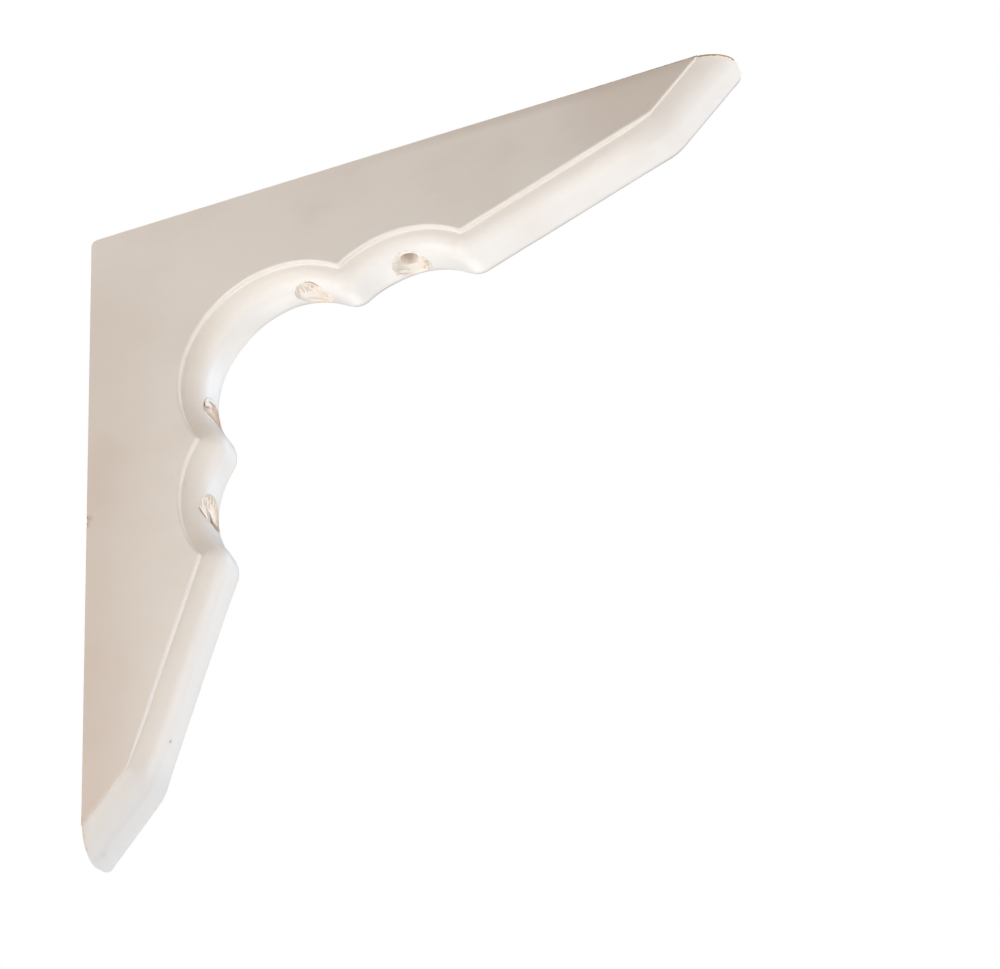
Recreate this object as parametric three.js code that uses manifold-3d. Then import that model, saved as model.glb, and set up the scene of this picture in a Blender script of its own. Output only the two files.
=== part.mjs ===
// A wooden shelf bracket, sawn from one board and painted. Two arms at right angles join in a
// corner: the upper one carries the shelf and the lower one is screwed to the wall. The inner
// edge is scooped, then tapers to a cut-off nose at each tip. It is stepped and rounded along both
// faces, with a flat band left between. Four counterbored holes take the screws.
//
// Millimetres, +Z up. The wall face is the plane X = 0, the shelf arm runs along +X, and the
// thickness of the board lies along Y, the same on both sides of Y = 0. The origin is on the wall
// face, halfway between the two wall screws.
import * as THREE from 'three';
import { mergeVertices } from 'three/addons/utils/BufferGeometryUtils.js';
import Module from 'manifold-3d';

// The board
const boardThickness = 20;
const shelfArmLength = 200; // from the wall face to the tip, along the middle of the thickness
const wallArmLength = 200; // from the shelf face to the lower tip, along the same middle
const backCornerRound = 2; // where the wall face meets the shelf face

// The moulded inner edge
const edgeStep = 1.5; // depth of the square step below each flat face
const edgeRound = 6; // radius of the quarter round that follows the step

// The inner outline, as the step draws it on the flat faces
const archSetback = 60.7; // from the wall face and from the shelf face to the arch's centre
const archRadius = 31.7; // the arch between the two arms
const scoopRadius = 31.7; // the scoop beside it on each arm
const scoopSpacing = 37.2; // from the arch's centre to each scoop's centre, along the arm
const cuspDepth = 35.4; // depth of the arm where the scoop ends and the taper starts
const cuspRound = 1; // the cusps between arch, scoop and taper
const shelfNoseDepth = 14.8; // depth of the shelf arm where its taper ends and its nose starts
const wallNoseDepth = 13.0; // the same on the wall arm, which was cut a little slimmer
const noseAngle = THREE.MathUtils.degToRad(43); // between the nose's cut and the arm's outer face
const noseRound = 8; // the corner between the taper and the nose

// The screw holes, drilled square to each arm's outer face
const screwHoleDiameter = 5.5;
const counterboreDiameter = 11;
const counterboreDepth = 2.5; // below the edge, at the hole's axis
const innerScrewSetback = 67.1; // from the other arm's outer face to the screw in the arch
const outerScrewSetback = archSetback + scoopSpacing; // the outer screw sits in the scoop's middle

// How finely the round forms are cut into facets
const archStep = THREE.MathUtils.degToRad(7.5);
const cuspStep = THREE.MathUtils.degToRad(13);
const roundFacets = 7; // across each quarter round
const cornerFacets = 5;
const holeFacets = 32;
const cutMargin = 1; // how far a cutter runs past what it cuts

const paintColor = 0xefe9e3;
const paintRoughness = 0.45;

const shelfFaceZ = (innerScrewSetback + outerScrewSetback) / 2;

// Points of the outline are (along, depth): along the arm from the other arm's outer face, and
// down from the arm's own outer face. Each rim point has its outward direction as well, so the
// moulding can be laid off at right angles to the outline.
function roundStretch(centre, radius, startDirection, endDirection, step, hollow) {
  const start = startDirection.angle();
  const turnBeyondHalf = endDirection.angle() - start + Math.PI;
  const turn = THREE.MathUtils.euclideanModulo(turnBeyondHalf, 2 * Math.PI) - Math.PI;
  const pieces = Math.max(2, Math.ceil(Math.abs(turn) / step));
  const rim = [];
  for (let i = 0; i <= pieces; i += 1) {
    const angle = start + (turn * i) / pieces;
    const direction = new THREE.Vector2(Math.cos(angle), Math.sin(angle));
    const point = centre.clone().addScaledVector(direction, radius);
    const outward = hollow ? direction.clone().negate() : direction;
    rim.push({ point, outward });
  }
  // A hollow stretch lies between two cusps that already hold its ends.
  return hollow ? rim.slice(1, -1) : rim;
}

function directionFrom(start, end) {
  return end.clone().sub(start).normalize();
}

const archCentre = new THREE.Vector2(archSetback, archSetback);
const scoopCentre = new THREE.Vector2(archSetback + scoopSpacing, archSetback);
const noseOutward = new THREE.Vector2(Math.sin(noseAngle), Math.cos(noseAngle));

// Where the nose meets the arm's outer face, on the flat face's outline.
function noseStart(armLength) {
  return armLength - edgeRound / noseOutward.x;
}

// The round between the scoop and the arch, which touches both.
function innerCuspCentre() {
  const fromArch = archRadius + cuspRound;
  const fromScoop = scoopRadius + cuspRound;
  const along = (fromArch ** 2 - fromScoop ** 2 + scoopSpacing ** 2) / (2 * scoopSpacing);
  const across = Math.sqrt(fromArch ** 2 - along ** 2);
  return new THREE.Vector2(archCentre.x + along, archCentre.y - across);
}

// One arm's rim, from its nose to the inner cusp.
function armRim(armLength, noseDepth) {
  const noseHeel = new THREE.Vector2(noseStart(armLength) - noseDepth / Math.tan(noseAngle), noseDepth);
  const scoopEnd = new THREE.Vector2(
    scoopCentre.x + Math.sqrt(scoopRadius ** 2 - (archSetback - cuspDepth) ** 2),
    cuspDepth,
  );
  const taper = directionFrom(scoopEnd, noseHeel);
  const taperOutward = new THREE.Vector2(-taper.y, taper.x);

  const bisector = noseOutward.clone().add(taperOutward);
  const noseRoundCentre = noseHeel.clone().addScaledVector(
    bisector,
    -noseRound / (1 + noseOutward.dot(taperOutward)),
  );

  const besideTaper = scoopEnd.clone().addScaledVector(taperOutward, -cuspRound);
  const fromScoop = besideTaper.clone().sub(scoopCentre);
  const towards = fromScoop.dot(taper);
  const reach = Math.sqrt(towards ** 2 - fromScoop.lengthSq() + (scoopRadius + cuspRound) ** 2);
  const outerCusp = besideTaper.clone().addScaledVector(taper, reach - towards);

  const innerCusp = innerCuspCentre();
  return [
    ...roundStretch(noseRoundCentre, noseRound, noseOutward, taperOutward, archStep, false),
    ...roundStretch(
      outerCusp,
      cuspRound,
      taperOutward,
      directionFrom(outerCusp, scoopCentre),
      cuspStep,
      false,
    ),
    ...roundStretch(
      scoopCentre,
      scoopRadius,
      directionFrom(scoopCentre, outerCusp),
      directionFrom(scoopCentre, innerCusp),
      archStep,
      true,
    ),
    ...roundStretch(
      innerCusp,
      cuspRound,
      directionFrom(innerCusp, scoopCentre),
      directionFrom(innerCusp, archCentre),
      cuspStep,
      false,
    ),
  ];
}

function swapped(vector) {
  return new THREE.Vector2(vector.y, vector.x);
}

// The whole rim, from the shelf arm's nose over the arch to the wall arm's nose.
function wholeRim() {
  const wallArm = armRim(wallArmLength, wallNoseDepth).reverse();
  const cusp = innerCuspCentre();
  return [
    ...armRim(shelfArmLength, shelfNoseDepth),
    ...roundStretch(
      archCentre,
      archRadius,
      directionFrom(archCentre, cusp),
      directionFrom(archCentre, swapped(cusp)),
      archStep,
      true,
    ),
    ...wallArm.map(({ point, outward }) => ({ point: swapped(point), outward: swapped(outward) })),
  ];
}

// The closed outline of the board where its moulded edge stands out by the given amount.
function boardOutline(rim, standOut) {
  const tipReach = standOut / noseOutward.x;
  const outline = [];
  for (let i = 0; i <= cornerFacets; i += 1) {
    const angle = (Math.PI / 2) * (i / cornerFacets);
    const along = backCornerRound * (1 - Math.cos(angle));
    const depth = backCornerRound * (1 - Math.sin(angle));
    outline.push(new THREE.Vector2(along, depth));
  }
  // These corner points run from the wall face round to the shelf face.
  outline.push(new THREE.Vector2(noseStart(shelfArmLength) + tipReach, 0));
  for (const { point, outward } of rim) {
    outline.push(point.clone().addScaledVector(outward, standOut));
  }
  outline.push(new THREE.Vector2(0, noseStart(wallArmLength) + tipReach));
  return outline;
}

// The moulding's section from one face to the other: how far it stands out at each depth.
function mouldingSection() {
  const half = boardThickness / 2;
  const front = [{ y: -half, standOut: 0 }];
  for (let i = 0; i <= roundFacets; i += 1) {
    const angle = (Math.PI / 2) * (i / roundFacets);
    front.push({
      y: -half + edgeStep + edgeRound * (1 - Math.cos(angle)),
      standOut: edgeRound * Math.sin(angle),
    });
  }
  const back = front.map(({ y, standOut }) => ({ y: -y, standOut })).reverse();
  return [...front, ...back];
}

// The board as one closed skin: a ring of points at each depth, joined ring to ring, and two faces.
function boardGeometry() {
  const rim = wholeRim();
  const rings = mouldingSection().map(({ y, standOut }) => ({ y, outline: boardOutline(rim, standOut) }));
  const count = rings[0].outline.length;
  const positions = [];
  for (const { y, outline } of rings) {
    for (const point of outline) {
      positions.push(point.x, y, shelfFaceZ - point.y);
    }
  }
  const indices = [];
  for (let ring = 0; ring < rings.length - 1; ring += 1) {
    for (let i = 0; i < count; i += 1) {
      const a = ring * count + i;
      const b = ring * count + ((i + 1) % count);
      indices.push(a, b, b + count, a, b + count, a + count);
    }
  }
  const lastRing = (rings.length - 1) * count;
  for (const [a, b, c] of THREE.ShapeUtils.triangulateShape(rings[0].outline, [])) {
    indices.push(a, c, b);
    indices.push(lastRing + a, lastRing + b, lastRing + c);
  }
  const geometry = new THREE.BufferGeometry();
  geometry.setAttribute('position', new THREE.Float32BufferAttribute(positions, 3));
  geometry.setIndex(indices);
  return geometry;
}

const wasm = await Module();
wasm.setup();

function solidFrom(geometry) {
  const bare = geometry.clone();
  bare.deleteAttribute('normal');
  bare.deleteAttribute('uv');
  const merged = mergeVertices(bare);
  const mesh = new wasm.Mesh({
    numProp: 3,
    vertProperties: new Float32Array(merged.attributes.position.array),
    triVerts: new Uint32Array(merged.index.array),
  });
  return new wasm.Manifold(mesh);
}

function geometryFrom(solid) {
  const mesh = solid.getMesh();
  const geometry = new THREE.BufferGeometry();
  geometry.setAttribute('position', new THREE.BufferAttribute(mesh.vertProperties, 3));
  geometry.setIndex(new THREE.BufferAttribute(mesh.triVerts, 1));
  const faceted = geometry.toNonIndexed();
  faceted.computeVertexNormals();
  return faceted;
}

// A round cutter square to an arm's outer face, between two depths.
function roundCutter(arm, setback, diameter, fromDepth, toDepth) {
  const cutter = new THREE.CylinderGeometry(diameter / 2, diameter / 2, toDepth - fromDepth, holeFacets);
  const middle = (fromDepth + toDepth) / 2;
  if (arm === 'shelf') {
    cutter.rotateX(Math.PI / 2);
    cutter.translate(setback, 0, shelfFaceZ - middle);
  } else {
    cutter.rotateZ(Math.PI / 2);
    cutter.translate(middle, 0, shelfFaceZ - setback);
  }
  return solidFrom(cutter);
}

// A screw's hole through the arm, and its counterbore below the flat band of the edge.
function drilled(board, arm, setback, hollowCentre, hollowRadius) {
  const bandRadius = hollowRadius - edgeRound;
  const armDepth = archSetback - Math.sqrt(bandRadius ** 2 - (setback - hollowCentre) ** 2);
  const floorDepth = armDepth - counterboreDepth;
  const hole = roundCutter(arm, setback, screwHoleDiameter, -cutMargin, floorDepth + cutMargin);
  const counterbore = roundCutter(arm, setback, counterboreDiameter, floorDepth, archSetback);
  return board.subtract(hole).subtract(counterbore);
}

function bracketGeometry() {
  let board = solidFrom(boardGeometry());
  for (const arm of ['shelf', 'wall']) {
    board = drilled(board, arm, innerScrewSetback, archSetback, archRadius);
    board = drilled(board, arm, outerScrewSetback, scoopCentre.x, scoopRadius);
  }
  return geometryFrom(board);
}

const paint = new THREE.MeshStandardMaterial({
  color: paintColor,
  roughness: paintRoughness,
  metalness: 0,
});
paint.name = 'white_paint';

const bracket = new THREE.Mesh(bracketGeometry(), paint);
bracket.name = 'bracket';

const shelfBracket = new THREE.Group();
shelfBracket.name = 'shelf_bracket';
shelfBracket.add(bracket);

export default shelfBracket;
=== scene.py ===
import math

import bmesh
import bpy
from mathutils import Matrix, Vector, noise


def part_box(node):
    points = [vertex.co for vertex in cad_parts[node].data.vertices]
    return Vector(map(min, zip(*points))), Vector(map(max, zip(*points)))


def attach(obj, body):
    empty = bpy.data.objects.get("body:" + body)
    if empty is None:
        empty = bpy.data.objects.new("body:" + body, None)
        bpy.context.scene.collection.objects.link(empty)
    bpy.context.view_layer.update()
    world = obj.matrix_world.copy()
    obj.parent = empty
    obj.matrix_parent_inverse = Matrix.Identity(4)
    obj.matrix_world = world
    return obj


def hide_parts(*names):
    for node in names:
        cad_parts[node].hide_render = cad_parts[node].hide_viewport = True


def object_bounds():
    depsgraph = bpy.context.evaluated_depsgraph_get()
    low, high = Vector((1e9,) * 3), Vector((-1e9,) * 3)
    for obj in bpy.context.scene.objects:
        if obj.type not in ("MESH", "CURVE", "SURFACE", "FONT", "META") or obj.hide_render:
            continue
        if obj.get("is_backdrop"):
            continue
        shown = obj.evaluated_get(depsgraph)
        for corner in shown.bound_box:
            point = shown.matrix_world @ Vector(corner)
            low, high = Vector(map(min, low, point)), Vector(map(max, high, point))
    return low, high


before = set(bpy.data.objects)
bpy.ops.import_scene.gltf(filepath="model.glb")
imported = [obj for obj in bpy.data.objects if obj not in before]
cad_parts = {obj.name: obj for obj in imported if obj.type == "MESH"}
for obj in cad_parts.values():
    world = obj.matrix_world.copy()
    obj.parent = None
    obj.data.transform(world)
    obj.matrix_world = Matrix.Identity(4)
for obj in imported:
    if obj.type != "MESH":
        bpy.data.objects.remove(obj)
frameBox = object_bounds()
mm = 0.001
print("frame loaded")


# Small helpers

def angleOf(direction):
    return math.atan2(direction.y, direction.x)


def pointing(angle):
    return Vector((math.cos(angle), math.sin(angle)))


def smooth(low, high, value):
    share = min(1.0, max(0.0, (value - low) / (high - low)))
    return share * share * (3 - 2 * share)


def quarterTurn(steps):
    # angles from nothing to a quarter turn
    return [math.pi / 2 * i / steps for i in range(steps + 1)]


def ringFaces(ring, around):
    # the quads between one ring of points and the next
    made = []
    for i in range(around):
        here = ring * around + i
        beside = ring * around + (i + 1) % around
        made.append((here, beside, beside + around, here + around))
    return made


def addObject(name, data):
    made = bpy.data.objects.new(name, data)
    bpy.context.scene.collection.objects.link(made)
    return made


# The board

board = {
    "cornerRound": 2.0,  # millimetres, as are the others: where the wall face meets the shelf face
    "edgeStep": 1.5,
    "edgeRound": 6.0,
    "archSetback": 60.7,
    "archRadius": 31.7,
    "scoopRadius": 31.7,
    "scoopSpacing": 37.2,
    "cuspDepth": 35.4,
    "cuspRound": 1.0,
    "cuspLeft": 0.1,  # a cusp is never cut back past this radius
    "shelfNoseDepth": 14.8,
    "wallNoseDepth": 13.0,
    "noseAngle": math.radians(43),
    "noseRound": 8.0,
    "arrisRound": 0.75,  # sandpaper and paint rounded the moulding's sharp edge by this
    "backArrisRound": 0.4,  # the same on the back
    "outerEase": 0.12,  # how far the edges of the wall and shelf faces are eased
    "tipEase": 0.45,  # and the shelf face's edge near its tip
    "tipEaseRun": (110, 165),  # it grows to that between these distances from the wall face
    "paintFillet": 0.45,  # paint gathered in the corner of the step
    "tipRound": 0.2,  # the sharp wedge at each tip, eased
    "shelfTipShort": 0.35,  # the tips are a little shorter towards the back
    "wallTipShort": 0.75,
    "tipShortRun": (-1.5, 4.5),  # between these places across the thickness
    "tipStepFill": 1.0,  # how much of the step is filled and worn away right at each tip
    "tipFillDepth": 4.0,  # it is gone this deep below the outer face
    "tipFillRun": (-14, -9),  # and grows between these distances from the arm's full length
    "noseStepFill": 0.7,  # the same along the nose behind it
    "noseFillRun": (-34, -22),
    "waviness": 0.07,  # how far the hand-fed cutter wandered
    "slowWaves": 0.045,  # how close together its slow waves and its quick ones come
    "quickWaves": 0.21,
    "quickShare": 0.35,  # how strong the quick ones are beside the slow ones
    "steadyRun": (-42, -22),  # it steadies between these distances from the arm's full length
    "shelfStepDrift": 0.08,  # the step was cut this much further out along the shelf arm
    "shelfDriftRun": (74, 92),
    "wallStepDrift": 0.03,  # and along the wall arm's taper
    "wallDriftRun": (108, 124),
    "backRun": (-3, 5.5),  # the back falls short between these places across the thickness
    "arcStep": math.radians(1.3),
    "cuspStep": math.radians(9),
    "straightStep": 1.8,
    "cornerSteps": 6,
    "tipSteps": 8,
    "arrisSteps": 8,
    "filletSteps": 4,
    "roundSteps": 16,
    "faceSteps": 90,
    "noseSteps": 12,
    "sharpAngle": math.radians(38),
    "normalWeight": 80,
}

# the sawn edge wasn't quite square, so the back of the moulding falls short: the distance from the wall
# face less the distance below the shelf face, and by how much there, in millimetres
backShort = [
    (-172, 0.35), (-165, 0.9), (-157, 1.1), (-92, 1.1), (-80, 0.7), (-50, 0.55), (-30, 0.35),
    (0, 0.3), (18, 0.8), (31, 1.15), (40, 0.7), (50, 0.65), (60, 0.25), (80, 0.2), (90, 0.3),
    (105, 0.2), (150, 0.2), (160, 0.25), (172, -0.15),
]

lowCorner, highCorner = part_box("bracket")
boardHalf = (highCorner.y - lowCorner.y) / 2 / mm
shelfFaceZ = highCorner.z / mm
shelfArmLength = (highCorner.x - lowCorner.x) / mm
wallArmLength = (highCorner.z - lowCorner.z) / mm

noseOutward = Vector((math.sin(board["noseAngle"]), math.cos(board["noseAngle"])))
archCentre = Vector((board["archSetback"], board["archSetback"]))
scoopCentre = Vector((board["archSetback"] + board["scoopSpacing"], board["archSetback"]))


def toSpace(along, depth, y):
    # along the shelf arm from the wall face, and down from the shelf face
    return Vector((along, y, shelfFaceZ - depth)) * mm


def arcPoints(centre, radius, start, end, step, hollow):
    # each point comes with its outward direction, and a hollow arc leaves its two ends to its neighbours
    turn = (end - start + math.pi) % (2 * math.pi) - math.pi
    count = max(2, math.ceil(abs(turn) / step))
    made = []
    for i in range(count + 1):
        direction = pointing(start + turn * i / count)
        made.append((centre + direction * radius, -direction if hollow else direction))
    return made[1:-1] if hollow else made


def straightPoints(start, end, outward, step):
    count = max(2, math.ceil((end - start).length / step))
    return [(start.lerp(end, i / count), outward) for i in range(1, count)]


def innerCuspCentre():
    fromArch = board["archRadius"] + board["cuspRound"]
    fromScoop = board["scoopRadius"] + board["cuspRound"]
    spacing = board["scoopSpacing"]
    along = (fromArch ** 2 - fromScoop ** 2 + spacing ** 2) / (2 * spacing)
    return Vector((archCentre.x + along, archCentre.y - math.sqrt(fromArch ** 2 - along ** 2)))


def noseStart(armLength):
    # where the step's line along the nose would meet the arm's outer face
    return armLength - board["edgeRound"] / noseOutward.x


def armRim(armLength, noseDepth):
    # from the nose to the inner cusp: points on the step's line, each with its outward direction
    cut = board["noseAngle"]
    heel = Vector((noseStart(armLength) - noseDepth / math.tan(cut), noseDepth))
    reach = math.sqrt(board["scoopRadius"] ** 2 - (board["archSetback"] - board["cuspDepth"]) ** 2)
    scoopEnd = Vector((scoopCentre.x + reach, board["cuspDepth"]))
    taper = (heel - scoopEnd).normalized()
    taperOutward = Vector((-taper.y, taper.x))
    bisector = noseOutward + taperOutward
    noseCentre = heel - bisector * (board["noseRound"] / (1 + noseOutward.dot(taperOutward)))

    besideTaper = scoopEnd - taperOutward * board["cuspRound"]
    fromScoop = besideTaper - scoopCentre
    towards = fromScoop.dot(taper)
    cuspToScoop = board["scoopRadius"] + board["cuspRound"]
    onwards = math.sqrt(towards ** 2 - fromScoop.length_squared + cuspToScoop ** 2) - towards
    outerCusp = besideTaper + taper * onwards
    innerCusp = innerCuspCentre()

    nose = arcPoints(
        noseCentre, board["noseRound"], angleOf(noseOutward), angleOf(taperOutward),
        board["arcStep"] * 2, False)
    firstCusp = arcPoints(
        outerCusp, board["cuspRound"], angleOf(taperOutward), angleOf(scoopCentre - outerCusp),
        board["cuspStep"], False)
    taperRun = straightPoints(nose[-1][0], firstCusp[0][0], taperOutward, board["straightStep"])
    scoop = arcPoints(
        scoopCentre, board["scoopRadius"], angleOf(outerCusp - scoopCentre),
        angleOf(innerCusp - scoopCentre), board["arcStep"], True)
    secondCusp = arcPoints(
        innerCusp, board["cuspRound"], angleOf(scoopCentre - innerCusp), angleOf(archCentre - innerCusp),
        board["cuspStep"], False)
    return nose + taperRun + firstCusp + scoop + secondCusp


def wholeRim():
    cusp = innerCuspCentre()
    arch = arcPoints(
        archCentre, board["archRadius"], angleOf(cusp - archCentre), angleOf(cusp.yx - archCentre),
        board["arcStep"], True)
    shelfArm = armRim(shelfArmLength, board["shelfNoseDepth"])
    wallArm = reversed(armRim(wallArmLength, board["wallNoseDepth"]))
    return shelfArm + arch + [(point.yx, outward.yx) for point, outward in wallArm]


def tipArc(armLength, standOut, inset):
    # the eased wedge between the arm's outer face and the nose's cut
    ease = board["tipRound"]
    depth = inset + ease
    along = noseStart(armLength) + (standOut - ease - depth * noseOutward.y) / noseOutward.x
    steps = board["tipSteps"]
    start = -math.pi / 2
    end = angleOf(noseOutward)
    directions = [pointing(start + (end - start) * i / steps) for i in range(steps + 1)]
    return [Vector((along, depth)) + direction * ease for direction in directions]


def between(start, end, count):
    return [start.lerp(end, i / count) for i in range(1, count)]


def pastEnd(point):
    # how far along its arm a point is, from the arm's full length
    return max(point.x - shelfArmLength, point.y - wallArmLength)


def wander(point, y):
    # the moulding isn't perfectly even, but it is true at the tips
    slow = board["slowWaves"]
    quick = board["quickWaves"]
    slowly = noise.noise(Vector((point.x * slow, point.y * slow, y * 0.03)))
    quickly = noise.noise(Vector((point.x * quick, point.y * quick, y * 0.12 + 7)))
    steady = smooth(*board["steadyRun"], pastEnd(point))
    return board["waviness"] * (slowly + board["quickShare"] * quickly) * (1 - steady)


def fallShort(point, y):
    place = point.x - point.y
    short = 0.0
    for (start, least), (end, most) in zip(backShort, backShort[1:]):
        if start <= place <= end:
            short = least + (most - least) * (place - start) / (end - start)
    return short * smooth(*board["backRun"], y)


def stepDrift(point, standOut):
    # fades to nothing where the round meets the flat band
    onShelf = board["shelfStepDrift"] * smooth(*board["shelfDriftRun"], point.x)
    onWall = board["wallStepDrift"] * smooth(*board["wallDriftRun"], point.y)
    left = 1 - max(0.0, standOut) / board["edgeRound"]
    return (onShelf + onWall) * left


def ringAt(rim, y, standOut, inset):
    # the board's outline at one place across its thickness
    corner = board["cornerRound"]
    centre = Vector((corner, corner))
    ring = [centre - pointing(angle) * (corner - inset) for angle in quarterTurn(board["cornerSteps"])]
    towardsBack = smooth(*board["tipShortRun"], y)
    shelfBack = Vector((board["shelfTipShort"] * towardsBack, 0))
    wallBack = Vector((board["wallTipShort"] * towardsBack, 0))
    shelfTip = [point - shelfBack for point in tipArc(shelfArmLength, standOut, inset)]
    wallTip = [(point - wallBack).yx for point in reversed(tipArc(wallArmLength, standOut, inset))]
    deepestCut = board["cuspLeft"] - board["cuspRound"]
    moulded = []
    for point, outward in rim:
        reach = standOut + wander(point, y) + stepDrift(point, standOut) - fallShort(point, y)
        moulded.append(point + outward * max(reach, deepestCut))
    moreEase = board["tipEase"] / board["outerEase"] - 1
    for point in between(ring[-1], shelfTip[0], board["faceSteps"]) + shelfTip:
        ring.append(point + Vector((0, inset * moreEase * smooth(*board["tipEaseRun"], point.x))))
    ring += between(ring[-1], moulded[0], board["noseSteps"]) + moulded
    ring += between(moulded[-1], wallTip[0], board["noseSteps"]) + wallTip
    ring += between(wallTip[-1], ring[0], board["faceSteps"])
    return ring


def stepFill(point, y, standOut):
    # how far the step's floor is raised towards the flat face near a tip
    along = pastEnd(point)
    shallow = 1 - smooth(0, board["tipFillDepth"], min(point.x, point.y))
    atTip = board["tipStepFill"] * shallow * smooth(*board["tipFillRun"], along)
    onNose = board["noseStepFill"] * smooth(*board["noseFillRun"], along)
    offFace = min(1.0, (boardHalf - abs(y)) / board["edgeStep"])
    share = offFace * (1 - min(1.0, max(0.0, standOut) / board["edgeRound"]))
    return max(atTip, onNose) * share * (-1 if y < 0 else 1)


def sectionLayers(arris):
    # (y, how far the moulding stands out, how far the outer faces are eased back) over the front half
    fillet = board["paintFillet"]
    radius = board["edgeRound"]
    stepFloor = -boardHalf + board["edgeStep"]
    layers = []
    for angle in quarterTurn(board["arrisSteps"]):
        eased = 1 - math.sin(angle)
        y = -boardHalf + arris * (1 - math.cos(angle))
        layers.append((y, -arris * eased, board["outerEase"] * eased))
    layers.append((-boardHalf + (arris + board["edgeStep"] - fillet) / 2, 0, 0))
    for angle in quarterTurn(board["filletSteps"]):
        layers.append((stepFloor - fillet * (1 - math.sin(angle)), fillet * (1 - math.cos(angle)), 0))
    start = math.asin(fillet / radius)
    steps = board["roundSteps"]
    for i in range(1, steps + 1):
        angle = start + (math.pi / 2 - start) * i / steps
        layers.append((stepFloor + radius * (1 - math.cos(angle)), radius * math.sin(angle), 0))
    layers.append(((stepFloor + radius) / 2, radius, 0))
    return layers


def boardMesh():
    rim = wholeRim()
    front = sectionLayers(board["arrisRound"])
    back = [(-y, out, inset) for y, out, inset in reversed(sectionLayers(board["backArrisRound"]))]
    layers = front + [(0, board["edgeRound"], 0)] + back
    vertices = []
    for y, standOut, inset in layers:
        ring = ringAt(rim, y, standOut, inset)
        vertices += [toSpace(point.x, point.y, y + stepFill(point, y, standOut)) for point in ring]
    count = len(ring)
    faces = []
    for layer in range(len(layers) - 1):
        faces += ringFaces(layer, count)
    last = (len(layers) - 1) * count
    faces.append(tuple(reversed(range(count))))
    faces.append(tuple(range(last, last + count)))
    mesh = bpy.data.meshes.new("bracketBoard")
    mesh.from_pydata(vertices, [], faces)
    mesh.validate()
    return mesh


# The screw holes, bored square to each arm's outer face

bores = {
    "holeDiameter": 5.5,
    "counterboreDiameter": 11.0,
    "counterboreDepth": 2.5,
    "innerSetback": 67.1,
    "outerSetback": board["archSetback"] + board["scoopSpacing"],
    "footRound": 0.7,  # paint and dust soften the corner between the floor and the wall
    "footSteps": 5,
    "wallTaper": 0.15,  # the counterbore is this much narrower at its floor
    "taperHeight": 2.0,  # and as wide as it should be this far above the foot
    "wallRises": (1.1, 1.5, 1.9, 2.3, 2.8, 3.5, 4.5, 6, 8, 11),
    "wallRough": 0.10,  # torn grain on the counterbore's wall
    "wallCoarse": 0.08,
    "floorRough": 0.16,
    "floorCoarse": 0.6,
    "shaftRough": 0.6,  # how rough the screw hole is beside the counterbore
    "chokeThickness": 0.8,  # of the waste in the screw hole
    "chokeReach": 3.0,  # it ends this far below its top
    "mouthDrop": 0.1,  # the screw hole's mouth is eased by this
    "mouthWiden": 0.12,
    "mouthFade": 1.5,  # a shifted mouth pulls this much floor along
    "pastFace": 1.0,  # the cutter starts this far outside the arm
    "tears": (0.7, 2.6, 1.6),  # the grain runs along the arm, so tears are long that way
    "broadTears": (0.35, 0.9, 0.5),
    "around": 120,
}

# how far the drill wandered off each mark: along the arm, and across the thickness
drillDrift = {
    "shelfInner": Vector((0.83, -1.2)),
    "shelfOuter": Vector((0.38, -0.6)),
    "wallInner": Vector((0.1, -0.4)),
    "wallOuter": Vector((1.4, -0.8)),
}

# torn grain and paint in each hole: how far the floor is raised, how deep below it the screw hole is
# choked and to what radius, and how far the hole's mouth lies towards the photographed face
drillWaste = {
    "shelfInner": {
        "floorRaised": 0.7, "chokeDepth": 0.35, "chokeRadius": 0.3, "mouthShift": 1.0,
        "floorWood": "creamWood", "wallWood": "tanWood"},
    "shelfOuter": {
        "floorRaised": 1.2, "chokeDepth": 4.0, "chokeRadius": 2.1, "mouthShift": 1.2,
        "floorWood": "creamWood", "wallWood": "creamWood"},
    "wallInner": {
        "floorRaised": 0.6, "chokeDepth": 0.5, "chokeRadius": 0.3, "mouthShift": 0.0,
        "floorWood": "shadedFloorWood", "wallWood": "pinkWood"},
    "wallOuter": {
        "floorRaised": 0.4, "chokeDepth": 1.0, "chokeRadius": 0.5, "mouthShift": 0.0,
        "floorWood": "creamWood", "wallWood": "tanWood"},
}


def counterboreFloor(setback, hollowCentre, hollowRadius):
    bandRadius = hollowRadius - board["edgeRound"]
    armDepth = board["archSetback"] - math.sqrt(bandRadius ** 2 - (setback - hollowCentre) ** 2)
    return armDepth - bores["counterboreDepth"]


def boreFrame(name):
    # the depth of a hole's floor, and a function that turns (along the arm from the axis, across the
    # thickness from the axis, height above the floor) into space
    inner = name.endswith("Inner")
    setback = bores["innerSetback" if inner else "outerSetback"]
    centre = board["archSetback"] if inner else scoopCentre.x
    radius = board["archRadius"] if inner else board["scoopRadius"]
    floorDepth = counterboreFloor(setback, centre, radius)
    drift = drillDrift[name]

    def placeIt(side, y, rise):
        along = setback + drift.x + side
        depth = floorDepth + rise
        if name.startswith("shelf"):
            return toSpace(along, depth, y + drift.y)
        return toSpace(depth, along, y + drift.y)

    return floorDepth, placeIt


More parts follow.
